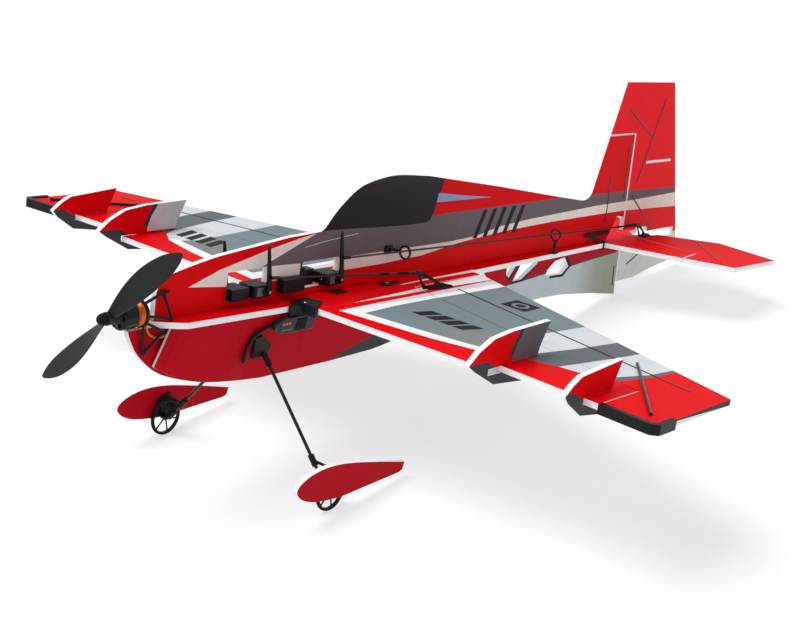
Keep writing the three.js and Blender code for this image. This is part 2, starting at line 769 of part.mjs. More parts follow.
// A thin rod from a servo arm to a fork, with a sleeve round each of its ends.
function pushrod(start, end, spread, sleeve) {
  const along = v3(end).sub(v3(start)).normalize();
  const fromStart = (distance) => v3(start).addScaledVector(along, distance).toArray();
  const fromEnd = (distance) => v3(end).addScaledVector(along, -distance).toArray();
  return join(
    rod(fromStart(0.4), fromEnd(9.9), ROD_RADIUS, 8),
    rod(fromEnd(9.4 + sleeve), fromEnd(9.4), ROD_RADIUS + 0.7, 8),
    rod(start, fromStart(9), ROD_RADIUS + 0.7, 8),
    fork(end, along, spread),
  );
}

const rodStartX = ARM_X + ARM_THICKNESS + 0.5 + ROD_RADIUS + 0.7;

function addAileronLinks() {
  const { servoZ, armRadius, armLength, hornX, hornRadius } = AILERON_LINK;
  for (const [label, side] of Object.entries(SIDES)) {
    const servoY = AILERON_LINK.servoY - (side === RIGHT ? RIGHT_SERVO_STEP : 0);
    add(label + "_aileron_servo_arm", servoArm(side, servoY, servoZ, armLength), blackPlastic());
    const hinge = hingeY(hornX);
    const [tipY, tipZ] = leaned(hinge, 0, hornRadius);
    const [startY, startZ] = leaned(servoY, servoZ, armRadius);
    const normal = v3([1, side * HINGE_SLOPE, 0]).normalize();
    const start = [side * rodStartX, startY, startZ];
    const turn = Math.atan(side * HINGE_SLOPE);
    const ahead = tipY - hinge;
    const end = [side * hornX - ahead * Math.sin(turn), hinge + ahead * Math.cos(turn), tipZ];
    add(label + "_aileron_pushrod", pushrod(start, end, normal, 8), carbon());
    add(label + "_aileron_horn", aileronHorn(side, tipY, tipZ, hinge), blackPlastic());
  }
}

// A triangular open horn on top of the aileron, square to its hinge line.
function aileronHorn(side, tipY, tipZ, hinge) {
  const { hornX } = AILERON_LINK;
  const foot = GAP;
  const outline = [
    [tipY - 1.8, tipZ + 1.6],
    [tipY + 1.6, tipZ + 1.8],
    [hinge + 26, foot + 6],
    [hinge + 44, foot + 2.2],
    [hinge + 44, foot],
    [hinge + 3, foot],
    [hinge + 1.5, foot + 2.4],
    [tipY - 2.2, tipZ - 4.5],
  ];
  const window = [
    [tipY + 1, tipZ - 3.4],
    [hinge + 19, foot + 6.4],
    [hinge + 17, foot + 3.4],
    [hinge + 5.6, foot + 3.4],
    [tipY + 0.8, tipZ - 6.4],
  ];
  const plate = uprightSheet(outline, -0.6, 1.2, [window]);
  const base = block([-4, hinge + 8, foot], [4, hinge + 34, foot + 1.4]);
  const turn = Math.atan(side * HINGE_SLOPE);
  const geometry = join(plate, base).translate(0, -hinge, 0).rotateZ(turn);
  return geometry.translate(side * hornX, hinge, 0);
}

function addElevatorLink() {
  const { servoY, servoZ, armRadius, armLength, hornX, hornRadius } = ELEVATOR_LINK;
  add("elevator_servo_arm", servoArm(LEFT, servoY, servoZ, armLength), blackPlastic());
  const [startY, startZ] = leaned(servoY, servoZ, armRadius);
  const [tipY, tipZ] = leaned(ELEVATOR_HINGE_Y, 0, hornRadius);
  const start = [rodStartX, startY, startZ];
  const end = [hornX, tipY, tipZ];
  add("elevator_pushrod", pushrod(start, end, v3([1, 0, 0]), 9), carbon());
  const foot = GAP;
  const hinge = ELEVATOR_HINGE_Y;
  const outline = [
    [tipY - 1.8, tipZ + 1.6],
    [tipY + 1.6, tipZ + 1.8],
    [hinge + 17, foot + 4],
    [hinge + 30, foot + 2],
    [hinge + 30, foot],
    [hinge + 2.6, foot],
    [hinge + 1.2, foot + 2.4],
    [tipY - 2.2, tipZ - 4.5],
  ];
  const window = [
    [tipY + 1, tipZ - 3.4],
    [hinge + 11, foot + 6.4],
    [hinge + 10, foot + 3],
    [hinge + 4.8, foot + 3],
    [tipY + 0.8, tipZ - 6.4],
  ];
  const plate = uprightSheet(outline, hornX - 0.6, 1.2, [window]);
  const base = block([hornX - 0.6, hinge + 9, foot], [hornX + 5, hinge + 27, foot + 1.4]);
  add("elevator_horn", join(plate, base), blackPlastic());
}

function addRudderLink() {
  const { servoX, servoY, armZ, radius, hornZ } = RUDDER_LINK;
  const arm = [
    [servoX + 3.6, servoY - 2],
    [servoX + 3.6, servoY + 2],
    [servoX + 1, servoY + 3.4],
    [servoX - radius - 2, servoY + 1.6],
    [servoX - radius - 2, servoY - 1.6],
    [servoX + 1, servoY - 3.4],
  ];
  add("rudder_servo_arm", flatSheet(arm, armZ - 0.9, 1.6), blackPlastic());

  const hinge = rudderHingeY(hornZ);
  const tipX = -HALF_FOAM - radius;
  const horn = [
    [-HALF_FOAM - GAP, hinge + 6],
    [-HALF_FOAM - GAP, hinge + 34],
    [tipX - 1.6, hinge + 1.6],
    [tipX - 1.6, hinge - 1.8],
    [tipX + 3, hinge - 2],
  ];
  const plate = flatSheet(horn, hornZ - 0.6, 1.2);
  const foot = block([-HALF_FOAM - GAP - 1.4, hinge + 8, hornZ - 4], [-HALF_FOAM - GAP, hinge + 32, hornZ + 4]);
  add("rudder_horn", join(plate, foot), blackPlastic());

  const start = [servoX - radius, servoY, armZ + 0.7 + 0.5 + ROD_RADIUS + 0.7];
  add("rudder_pushrod", pushrod(start, [tipX, hinge, hornZ], v3([0, 0, 1]), 9), carbon());
}

// ---------------------------------------------------------------- pushrod guides and clips
// Where the elevator pushrod is, as it passes a place along the fuselage.
function alongElevatorRod(y) {
  const [startY, startZ] = leaned(ELEVATOR_LINK.servoY, ELEVATOR_LINK.servoZ, ELEVATOR_LINK.armRadius);
  const [endY, endZ] = leaned(ELEVATOR_HINGE_Y, 0, ELEVATOR_LINK.hornRadius);
  const share = (y - startY) / (endY - startY);
  const x = THREE.MathUtils.lerp(rodStartX, ELEVATOR_LINK.hornX, share);
  return [x, THREE.MathUtils.lerp(startZ, endZ, share)];
}

// A ring large enough for the pushrod to rise and fall in.
function guideRing(x, y, z, radius) {
  const ring = turnedAlongY(
    [
      [radius, y - 1.4],
      [radius + 1.3, y - 1.4],
      [radius + 1.3, y + 1.4],
      [radius, y + 1.4],
      [radius, y - 1.4],
    ],
    16,
    x,
    z,
  );
  return ring;
}

const GUIDE_SLACK = 6.4;
function addGuides() {
  const frontY = 20;
  const [fx, fz] = alongElevatorRod(frontY);
  const wall = HALF_FOAM + GAP;
  add(
    "elevator_rod_guide",
    join(
      guideRing(fx, frontY, fz - 1.5, GUIDE_SLACK),
      rod([wall + 1.4, 9, fz], [fx - GUIDE_SLACK - 0.6, frontY, fz - 1.5], 1.7, 8),
      block([wall, 2, fz - 4], [wall + 1.6, 14, fz + 4]),
    ),
    blackPlastic(),
  );
  const rearY = 325;
  const [rx, rz] = alongElevatorRod(rearY);
  add(
    "elevator_rod_post",
    join(
      guideRing(rx, rearY, rz - 1.5, GUIDE_SLACK),
      rod([rx + 1, rearY, GAP + 0.5], [rx + 1, rearY, rz - GUIDE_SLACK - 2], 1.8, 8),
      block([rx - 3, rearY - 4, GAP], [rx + 5, rearY + 4, GAP + 1.6]),
    ),
    blackPlastic(),
  );
  const rudderY = 200;
  const rodLength = rudderHingeY(RUDDER_LINK.hornZ) - RUDDER_LINK.servoY;
  const share = (rudderY - RUDDER_LINK.servoY) / rodLength;
  const armTipX = RUDDER_LINK.servoX - RUDDER_LINK.radius;
  const gx = THREE.MathUtils.lerp(armTipX, -HALF_FOAM - RUDDER_LINK.radius, share);
  const gz = THREE.MathUtils.lerp(RUDDER_LINK.armZ + 3, RUDDER_LINK.hornZ, share);
  add(
    "rudder_rod_guide",
    join(
      guideRing(gx - 0.4, rudderY, gz, GUIDE_SLACK),
      rod([-wall - 0.6, rudderY, gz], [gx + GUIDE_SLACK + 0.2, rudderY, gz], 1.7, 8),
      block([-wall - 1.6, rudderY - 6, gz - 4], [-wall, rudderY + 6, gz + 4]),
    ),
    blackPlastic(),
  );
}

function addTailBrackets() {
  for (const [label, side] of Object.entries(SIDES)) {
    const wall = HALF_FOAM + GAP;
    const rail = sideBlock(side, [wall, 412, 9.5], [wall + 3.4, 468, 14]);
    const leg = rod([side * (wall + 1.8), 415, 11.5], [side * 11.4, 451, 2], 1.7, 8);
    const clip = sideBlock(side, [9, 447.4, GAP], [13.6, 451.6, 3]);
    const [edgeX, edgeY] = [12.9, 449.2];
    const lip = rod([side * edgeX, edgeY - 1, 2], [side * edgeX, edgeY - 1, -8.6], 1.3, 8);
    add(label + "_tail_bracket", cut(join(rail, leg, clip, lip), tailEdgeKeepOut(side)), blackPlastic());
  }
}

// The space that the horizontal sheet takes near the tail, with the usual gap round it.
function tailEdgeKeepOut(side) {
  const outline = [
    [0, 400],
    [12.2 + GAP + 52.2 * 0.0332, 400],
    [12.2 + GAP, 452.6],
    [60, 472.6],
    [60, 500],
    [0, 500],
  ];
  return flatSheet(mirrored(outline, side), -FOAM - GAP, FOAM + 2 * GAP);
}

// Plastic clamp over each corner where the wing's leading edge meets the fuselage edge.
function addWingClamps() {
  const plate = [
    [20, -160],
    [32, -171],
    [34, -153.6],
    [48, -152.6],
    [36, -129],
    [18, -133],
  ];
  for (const [label, side] of Object.entries(SIDES)) {
    const top = flatSheet(mirrored(plate, side), GAP, 2.2);
    const skirtFront = [
      [28.7, -170.4],
      [32, -170.8],
      [33.4, -153.2],
      [47.6, -152.4],
      [47.6, WING_ROOT_FRONT_Y - GAP],
      [28.9, WING_ROOT_FRONT_Y - GAP - 0.4],
    ];
    const skirt = flatSheet(mirrored(skirtFront, side), -8.6, 8.6 + GAP + 1);
    add(label + "_wing_clamp", join(top, skirt), blackPlastic());
  }
}

// ---------------------------------------------------------------- undercarriage
function strutPoint(side, share) {
  const [x, y, z] = STRUT_TOP.map((a, i) => a + (STRUT_END[i] - a) * share);
  return [side * x, y, z];
}

function addUndercarriage() {
  for (const [label, side] of Object.entries(SIDES)) {
    const sleeve = rod(strutPoint(side, 0.03), strutPoint(side, 0.12), 3, 12);
    const padOutline = [
      [-205, -30],
      [-196, -28],
      [-178, -41],
      [-180, -53],
      [-202, -53],
    ];
    const padX = cheekX(-192, -41) + 1;
    const tilt = Math.atan2(cheekTopX(-190) - CHEEK_KEEL_X, UNDER - bellyZ(-190));
    const pad = uprightSheet(padOutline.map(([y, z]) => [y, z + 41]), 0, 2.6)
      .rotateY(tilt)
      .translate(padX, 0, -41);
    const placedPad = outward(pad.scale(side, 1, 1));
    const bore = rod(strutPoint(side, -0.2), strutPoint(side, 0.3), STRUT_RADIUS + GAP, 12);
    add(label + "_gear_mount", cut(join(placedPad, sleeve), bore), blackPlastic());
    const strut = rod(strutPoint(side, 0.02), strutPoint(side, 0.965), STRUT_RADIUS, 12);
    add(label + "_gear_strut", strut, carbon());
    addAxleBracket(label, side);
    addWheel(label, side);
    addWheelPant(label, side);
  }
}

function addAxleBracket(label, side) {
  const { y, z } = AXLE;
  const plateOutline = [
    [y - 17, z - 0.6],
    [y - 7, z + 21],
    [y + 8, z + 25],
    [y + 22, z + 8.5],
    [y + 19, z - 0.6],
  ];
  const inner = PANT_X - GAP - 1.6;
  const plate = sideSheet(side, plateOutline, inner, 1.6);
  const axle = rod([side * (inner + 0.8), y, z], [side * 111, y, z], 1.2, 10);
  const flange = rod([side * (inner + 0.8), y, z], [side * (inner - 0.8), y, z], 3.4, 12);
  const socket = rod(strutPoint(side, 0.9), strutPoint(side, 0.99), 3, 10);
  const collarShare = [0.75, 0.83];
  const collar = rod(...collarShare.map((s) => strutPoint(side, s)), 3.2, 12);
  const brace = rod([side * (inner + 0.6), y + 1, z + 22.8], strutPoint(side, 0.79), 1.5, 8);
  const bore = rod(strutPoint(side, 0.5), strutPoint(side, 0.975), STRUT_RADIUS + GAP, 12);
  add(label + "_axle_bracket", cut(join(plate, axle, flange, socket, collar, brace), bore), blackPlastic());
}

function addWheel(label, side) {
  const half = WHEEL_WIDTH / 2;
  const bore = 1.5;
  const hub = 3.4;
  const ringProfile = [
    [WHEEL_RADIUS - 2.8, -half * 0.8],
    [WHEEL_RADIUS - 1.4, -half],
    [WHEEL_RADIUS, -half * 0.4],
    [WHEEL_RADIUS, half * 0.4],
    [WHEEL_RADIUS - 1.4, half],
    [WHEEL_RADIUS - 2.8, half * 0.8],
    [WHEEL_RADIUS - 2.8, -half * 0.8],
  ];
  const hubProfile = [
    [bore, -half],
    [hub, -half],
    [hub, half],
    [bore, half],
    [bore, -half],
  ];
  const spokes = [];
  const spokeCount = 6;
  for (let i = 0; i < spokeCount; i++) {
    const spoke = block([-0.9, hub - 0.8, -0.8], [0.9, WHEEL_RADIUS - 2, 0.8]);
    spokes.push(spoke.rotateX((2 * Math.PI * (i + 0.25)) / spokeCount));
  }
  const toX = (geometry) => geometry.rotateZ(-Math.PI / 2);
  const ring = toX(turnedAlongY(ringProfile, 36, 0, 0));
  const core = toX(turnedAlongY(hubProfile, 14, 0, 0));
  const wheel = join(ring, core, ...spokes);
  add(label + "_wheel", wheel.translate(side * WHEEL_X, AXLE.y, AXLE.z), rubber());
}

function addWheelPant(label, side) {
  const shape = new THREE.Shape();
  shape.moveTo(-80.5, -148.7);
  shape.lineTo(-121.7, -139.7);
  const curve = [
    [-169.5, -130.8],
    [-199.4, -128.4],
    [-223, -131.2],
    [-238.5, -137.6],
    [-243.5, -144],
    [-239.5, -150.8],
    [-230.2, -156.6],
    [-213, -161.4],
    [-182, -164.4],
    [-166, -163.8],
  ];
  shape.splineThru(curve.map(([y, z]) => new THREE.Vector2(y, z)));
  shape.lineTo(-88, -158.6);
  shape.lineTo(-83, -156.6);
  add(label + "_wheel_pant", sideSheet(side, shape, PANT_X, FOAM), darkRedFoam());
}

// ---------------------------------------------------------------- wiring held by the airframe
function addWiring() {
  const leads = [
    [7, -339.2, -0.8],
    [6.6, -336.5, -7],
    [6.2, -331, -13],
    [6, -322, -16],
    [5.8, -304, -14.6],
  ];
  add("motor_leads", cable(leads, 1.2, 22), finish(0xc98a2b, 0.5));
  const route = [
    [-188.9, -19.4],
    [-197, -21.5],
    [-205.5, -25.5],
    [-211, -33],
    [-213, -44],
    [-212, -56],
  ];
  const batteryLead = route.map(([y, z]) => [cheekX(y, z) + 3.2, y, z]);
  add("battery_lead", cable(batteryLead, 2.1, 20), blackPlastic());
}

// ---------------------------------------------------------------- assembly
addHorizontalSheet();
addUpperFuselage();
addLowerFuselage();
addCheeks();
addAilerons();
addElevator();
addRudder();
addSidePlates();
addTipGuards();
addAileronStiffeners();
addMotorMount();
addMotor();
addPropeller();
addElectronics();
addServos();
addAileronLinks();
addElevatorLink();
addRudderLink();
addGuides();
addTailBrackets();
addWingClamps();
addUndercarriage();
addWiring();

// Stand the aeroplane on its wheels and tail, centred over the origin.
airframe.rotation.x = -radians(GROUND_PITCH);
airframe.updateMatrixWorld(true);
const extent = new THREE.Box3().setFromObject(airframe, true);
const middle = extent.getCenter(new THREE.Vector3());
airframe.position.set(-middle.x, -middle.y, -extent.min.z);

const model = new THREE.Group();
model.add(airframe);
export default model;
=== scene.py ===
"""Flat-foam radio controlled aeroplane: looks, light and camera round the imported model."""
import json
import math

import bmesh
import bpy
from mathutils import Matrix, Vector


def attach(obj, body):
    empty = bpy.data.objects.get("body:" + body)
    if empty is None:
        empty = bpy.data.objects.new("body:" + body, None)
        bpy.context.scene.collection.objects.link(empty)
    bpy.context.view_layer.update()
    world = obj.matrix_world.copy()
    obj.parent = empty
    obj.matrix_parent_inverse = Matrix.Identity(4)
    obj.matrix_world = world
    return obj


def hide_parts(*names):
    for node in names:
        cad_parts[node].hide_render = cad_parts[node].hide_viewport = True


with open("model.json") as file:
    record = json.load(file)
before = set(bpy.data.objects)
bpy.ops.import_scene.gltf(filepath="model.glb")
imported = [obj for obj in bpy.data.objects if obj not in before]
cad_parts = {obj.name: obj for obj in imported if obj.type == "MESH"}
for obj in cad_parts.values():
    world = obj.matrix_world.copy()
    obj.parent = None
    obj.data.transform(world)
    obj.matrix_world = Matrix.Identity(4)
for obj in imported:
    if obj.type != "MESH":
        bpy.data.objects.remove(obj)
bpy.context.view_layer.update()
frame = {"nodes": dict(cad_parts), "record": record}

nodes = frame["nodes"]
joints = {j["name"]: j for j in frame["record"]["behaviour"]["joints"]}

# ---------------------------------------------------------------- the airframe's own axes, in millimetres
# x to the aeroplane's left, y aft, z up from the top of the horizontal sheet. It sits nose up on its wheels.
PITCH = math.radians(-8.49)
ELEVATOR_HINGE_Y = 535
TILT = Matrix.Rotation(PITCH, 4, "X")
ORIGIN = Vector(joints["elevator_hinge"]["pos_m"]) - TILT @ Vector((0, ELEVATOR_HINGE_Y / 1000, 0))
AIRFRAME = Matrix.Translation(ORIGIN) @ TILT @ Matrix.Scale(0.001, 4)
LOCAL = AIRFRAME.inverted()
HALF_FOAM = 3
LEFT, RIGHT = 1, -1
SIDES = (("left", LEFT), ("right", RIGHT))

X, Y, Z = 0, 1, 2


# ---------------------------------------------------------------- materials
def linear(rgb):
    return tuple((c / 255 / 12.92) if c <= 10 else ((c / 255 + 0.055) / 1.055) ** 2.4 for c in rgb) + (1,)


def shaded(color, factor):
    return tuple(min(1, c * factor) for c in color[:3]) + (1,)


def material(
    name, rgb, rough=0.45, metal=0.0, grain=0.05, scale=90, bump=0.0, bump_scale=700, coat=0.0, fade=None,
    shine=0.35, glow=0.0,
):
    """A finish with a soft mottle in its colour and gloss.

    fade is (end colour, direction, start, end), in metres. bump raises cells, as foam or moulded nylon has."""
    m = bpy.data.materials.new(name)
    m.use_nodes = True
    tree = m.node_tree
    link = tree.links.new
    shader = tree.nodes["Principled BSDF"]
    shader.inputs["Metallic"].default_value = metal
    shader.inputs["Coat Weight"].default_value = coat
    shader.inputs["Specular IOR Level"].default_value = shine
    shader.inputs["Emission Color"].default_value = (1, 1, 1, 1)
    shader.inputs["Emission Strength"].default_value = glow
    shader.inputs["Coat Roughness"].default_value = 0.25
    place = tree.nodes.new("ShaderNodeTexCoord").outputs["Object"]
    noise = tree.nodes.new("ShaderNodeTexNoise")
    noise.inputs["Scale"].default_value = scale
    noise.inputs["Detail"].default_value = 4
    link(place, noise.inputs["Vector"])
    base = linear(rgb)

    def tone(color):
        ramp = tree.nodes.new("ShaderNodeValToRGB")
        ramp.color_ramp.elements[0].position = 0.35
        ramp.color_ramp.elements[0].color = shaded(color, 1 - grain)
        ramp.color_ramp.elements[1].position = 0.65
        ramp.color_ramp.elements[1].color = shaded(color, 1 + grain)
        link(noise.outputs["Fac"], ramp.inputs["Fac"])
        return ramp.outputs["Color"]

    color = tone(base)
    if fade:
        end_rgb, direction, start, end = fade
        dot = tree.nodes.new("ShaderNodeVectorMath")
        dot.operation = "DOT_PRODUCT"
        dot.inputs[1].default_value = direction
        link(place, dot.inputs[0])
        share = tree.nodes.new("ShaderNodeMapRange")
        share.interpolation_type = "SMOOTHSTEP"
        share.inputs["From Min"].default_value = start
        share.inputs["From Max"].default_value = end
        link(dot.outputs["Value"], share.inputs["Value"])
        mix = tree.nodes.new("ShaderNodeMix")
        mix.data_type = "RGBA"
        link(share.outputs["Result"], mix.inputs[0])
        link(color, mix.inputs[6])
        link(tone(linear(end_rgb)), mix.inputs[7])
        color = mix.outputs[2]
    link(color, shader.inputs["Base Color"])
    gloss = tree.nodes.new("ShaderNodeMapRange")
    gloss.inputs["To Min"].default_value = max(0.03, rough - 0.06)
    gloss.inputs["To Max"].default_value = min(1, rough + 0.06)
    link(noise.outputs["Fac"], gloss.inputs["Value"])
    link(gloss.outputs["Result"], shader.inputs["Roughness"])
    if bump:
        cells = tree.nodes.new("ShaderNodeTexVoronoi")
        cells.inputs["Scale"].default_value = bump_scale
        link(place, cells.inputs["Vector"])
        lift = tree.nodes.new("ShaderNodeBump")
        lift.inputs["Strength"].default_value = bump
        lift.inputs["Distance"].default_value = 0.0002
        link(cells.outputs["Distance"], lift.inputs["Height"])
        link(lift.outputs["Normal"], shader.inputs["Normal"])
    return m


FOAM_CELLS = 420  # cells of the foam's skin to a metre, as the bump pattern counts them


def print_ink(name, rgb, **more):
    """Ink printed on the foam's skin: satin, with the foam's cells just showing."""
    return material(
        name, rgb, rough=0.5, grain=0.035, scale=60, bump=0.12, bump_scale=FOAM_CELLS, shine=0.05, **more
    )


INK = {
    "foam": material(
        "bare_foam", (238, 240, 242), rough=0.75, grain=0.03, scale=300,
        bump=0.45, bump_scale=FOAM_CELLS, shine=0.1,
    ),
    "red": print_ink("red_print", (222, 1, 12)),
    "body_red": print_ink("body_red_print", (216, 3, 10)),
    "fin_red": print_ink("fin_red_print", (235, 20, 34)),
    # The print's red darkened as painted shade, for the cheeks, lower fuselage and wheel pants that sit under
    # the wing.
    "red_with_painted_shade": print_ink("red_print_with_painted_shade", (178, 3, 26)),
    "white": print_ink("white_print", (236, 238, 240)),
    "pale": print_ink("pale_print", (232, 220, 215)),
    "light": print_ink("light_grey_print", (206, 211, 216)),
    "slate": print_ink("slate_print", (118, 134, 138)),
    "dark_slate": print_ink("dark_slate_print", (99, 108, 113)),
    "beige": print_ink("beige_print", (128, 134, 130)),
    "grey": print_ink("grey_print", (108, 97, 101)),
    "canopy": print_ink("canopy_print", (42, 36, 42), fade=((70, 63, 72), (0, 0.3, 1), 0.2, 0.27)),
    "decal": print_ink("dark_decal_print", (38, 40, 46)),
    "blue": print_ink("pale_blue_print", (140, 160, 196)),
    "dark_grey": print_ink("dark_grey_print", (66, 66, 68)),
    # Grey belly print whose fade to a darker beige-grey towards the tail is a painted shadow.
    "belly_grey_with_painted_shadow": print_ink(
        "grey_belly_print_with_painted_shadow", (186, 196, 200), fade=((158, 158, 146), (0, 1, 0), 0.24, 0.33)
    ),
    "tail_grey": print_ink("tail_grey_print", (212, 210, 202)),
}

PLASTIC = material(
    "black_nylon", (20, 20, 22), rough=0.36, grain=0.08, scale=220, bump=0.1, bump_scale=1400, shine=0.16
)
CARBON = material("carbon_rod", (18, 18, 21), rough=0.3, grain=0.12, scale=500, coat=0.3, shine=0.16)
RUBBER = material(
    "foam_tyre", (20, 20, 22), rough=0.8, grain=0.1, scale=500, bump=0.3, bump_scale=1500, shine=0.16
)
PROP = material("propeller_nylon", (30, 31, 35), rough=0.42, grain=0.06, scale=60, shine=0.16)
COPPER = material("copper_winding", (206, 92, 26), rough=0.32, metal=0.6, grain=0.25, scale=900)
ANODISED = material("black_anodised", (30, 31, 34), rough=0.28, metal=0.7, grain=0.08, scale=300)
STEEL = material("steel", (178, 180, 184), rough=0.25, metal=1.0, grain=0.05, scale=400)
SLEEVING = material("lead_sleeving", (196, 112, 30), rough=0.5, grain=0.15, scale=900)
WRAP = material("battery_wrap", (24, 44, 78), rough=0.3, grain=0.06, scale=120)
CIRCUIT = material("circuit_board", (30, 32, 34), rough=0.4, grain=0.3, scale=600)
AMBER = material("amber_parts", (206, 118, 30), rough=0.45, grain=0.2, scale=700)
LABEL = material("plain_label", (92, 94, 98), rough=0.4, grain=0.05, scale=200)


# ---------------------------------------------------------------- pieces
def body_of(node):
    return next(b for b, names in frame["record"]["behaviour"]["bodies"].items() if node in names)


def piece_from(bm, name, materials, body, bevel=0.0, smooth=False):
    """Turns a bmesh in airframe millimetres into a finished piece that rides on a body."""
    bm.transform(AIRFRAME)
    bmesh.ops.recalc_face_normals(bm, faces=bm.faces)
    mesh = bpy.data.meshes.new(name)
    bm.to_mesh(mesh)
    bm.free()
    for m in materials:
        mesh.materials.append(m)
    piece = bpy.data.objects.new(name, mesh)
    bpy.context.scene.collection.objects.link(piece)
    if smooth:
        mesh.shade_smooth()
        mesh.set_sharp_from_angle(angle=math.radians(32))
    if bevel:
        mod = piece.modifiers.new("softened_edges", "BEVEL")
        mod.width = bevel / 1000
        mod.segments = 2
        mod.limit_method = "ANGLE"
        mod.angle_limit = math.radians(40)
    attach(piece, body)
    return piece


def local_copy(node):
    """The CAD node's surface, welded, in airframe millimetres."""
    bm = bmesh.new()
    bm.from_mesh(nodes[node].data)
    bm.transform(LOCAL)
    bmesh.ops.remove_doubles(bm, verts=bm.verts, dist=0.002)
    return bm


def inside(point, polygon):
    x, y = point
    odd = False
    for (x0, y0), (x1, y1) in zip(polygon, polygon[1:] + polygon[:1]):
        if (y0 > y) != (y1 > y) and x < (x1 - x0) * (y - y0) / (y1 - y0) + x0:
            odd = not odd
    return odd


def cut_along(bm, polygon, i, j):
    """Splits the faces that a polygon's sides cross. The polygon lies in the plane of axes i and j."""
    for a, b in zip(polygon, polygon[1:] + polygon[:1]):
        low = (min(a[0], b[0]) - 0.01, min(a[1], b[1]) - 0.01)
        high = (max(a[0], b[0]) + 0.01, max(a[1], b[1]) + 0.01)
        crossed = [
            f for f in bm.faces
            if min(v.co[i] for v in f.verts) <= high[0] and max(v.co[i] for v in f.verts) >= low[0]
            and min(v.co[j] for v in f.verts) <= high[1] and max(v.co[j] for v in f.verts) >= low[1]
        ]
        if not crossed:
            continue
        near, across = Vector((0, 0, 0)), Vector((0, 0, 0))
        near[i], near[j] = a
        across[i], across[j] = b[1] - a[1], a[0] - b[0]
        geom = list({e for f in crossed for e in (*f.verts, *f.edges, f)})
        bmesh.ops.bisect_plane(bm, geom=geom, plane_co=near, plane_no=across.normalized(), dist=0.0005)


def printed(
    node, axis, base, plus=(), minus=(), bevel=0.45, minus_base=None, hinge=None, tip=None
):
    """A foam sheet with printed faces and white cut edges, made from the CAD node's own outline.

    axis is across the sheet. plus and minus are the layers on each face, the last on top: (ink, polygon).
    hinge(i, j) says where an edge is a hinge, shaded and coloured as its face is.
    tip(i, j) says where an edge is bound in dark."""
    i, j = [a for a in (X, Y, Z) if a != axis]
    bm = local_copy(node)
    for polygon in {id(p): p for _, p in (*plus, *minus)}.values():
        cut_along(bm, polygon, i, j)
    inks = ["foam", base, *(ink for ink, _ in (*plus, *minus)), minus_base or base]
    inks = list(dict.fromkeys(inks + ["dark_grey"]))
    for f in bm.faces:
        f.normal_update()
        across = f.normal[axis]
        centre = f.calc_center_median()
        ink = "foam"
        if tip and abs(across) < 0.9 and tip(centre[i], centre[j]):
            ink = "dark_grey"
        elif abs(across) > 0.9 or (hinge and hinge(centre[i], centre[j])):
            layers = plus if across > -0.9 else minus
            ink = base if across > -0.9 else (minus_base or base)
            for name, polygon in layers:
                if inside((centre[i], centre[j]), polygon):
                    ink = name
        f.material_index = inks.index(ink)
    piece = piece_from(bm, node + "_print", [INK[k] for k in inks], body_of(node), bevel)
    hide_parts(node)
    return piece


def finished(node, *finishes, slot=None, smooth=True, bevel=0.0):
    """The CAD node's shape with smooth curves and softened edges."""
    bm = local_copy(node)
    piece = piece_from(bm, node + "_finish", list(finishes), body_of(node), bevel, smooth)
    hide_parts(node)
    return piece


def turns(count):
    """Angles that share a full turn evenly."""
    return [2 * math.pi * n / count for n in range(count)]


def slab(bm, corners, height, up=Vector((0, 0, 1))):
    """Adds a closed prism on a loop of corners."""
    low = [bm.verts.new(c) for c in corners]
    top = [bm.verts.new(Vector(c) + up * height) for c in corners]
    bm.faces.new(low[::-1])
    bm.faces.new(top)
    n = len(corners)
    for k in range(n):
        bm.faces.new((low[k], low[(k + 1) % n], top[(k + 1) % n], top[k]))


def tube(bm, path, radius, around=12):
    """Adds a closed round tube along a path, with the radius at each point or one for all."""
    path = [Vector(p) for p in path]
    radii = radius if isinstance(radius, (list, tuple)) else [radius] * len(path)
    side = None
    rings = []
    for k, p in enumerate(path):
        along = (path[min(k + 1, len(path) - 1)] - path[max(k - 1, 0)]).normalized()
        if side is None:
            side = along.orthogonal().normalized()
        side = (side - along * side.dot(along)).normalized()
        other = along.cross(side)
        rings.append([
            bm.verts.new(p + radii[k] * (math.cos(t) * side + math.sin(t) * other))
            for t in turns(around)
        ])
    bm.faces.new(rings[0][::-1])
    bm.faces.new(rings[-1])
    for a, b in zip(rings, rings[1:]):
        for n in range(around):
            m = (n + 1) % around
            bm.faces.new((a[n], a[m], b[m], b[n]))


def lathed(bm, centre, axis, profile, around=48, closed=True):
    """Adds a ring turned about an axis: profile is a closed loop of (radius, distance along the axis)."""
    axis = Vector(axis).normalized()
    u = axis.orthogonal().normalized()
    w = axis.cross(u)
    centre = Vector(centre)
    rings = [
        [bm.verts.new(centre + axis * s + r * (math.cos(t) * u + math.sin(t) * w)) for r, s in profile]
        for t in turns(around)
    ]
    n = len(profile)
    for k in range(around):
        a, b = rings[k], rings[(k + 1) % around]
        for m in range(n if closed else n - 1):
            bm.faces.new((a[m], b[m], b[(m + 1) % n], a[(m + 1) % n]))


def strip(name, body, a, b, across=1.9, thick=0.5, side=None):
    """A flat carbon strip glued on a sheet. a and b are points on its surface, side is its outward axis."""
    a, b = Vector(a), Vector(b)
    out = Vector(side)
    wide = (b - a).normalized().cross(out) * across / 2
    bm = bmesh.new()
    slab(bm, [a - wide, b - wide, b + wide, a + wide], thick, out)
    return piece_from(bm, name, [CARBON], body, bevel=0.12)


def mirrored(layers):
    return [(ink, [(-x, y) for x, y in polygon]) for ink, polygon in layers]


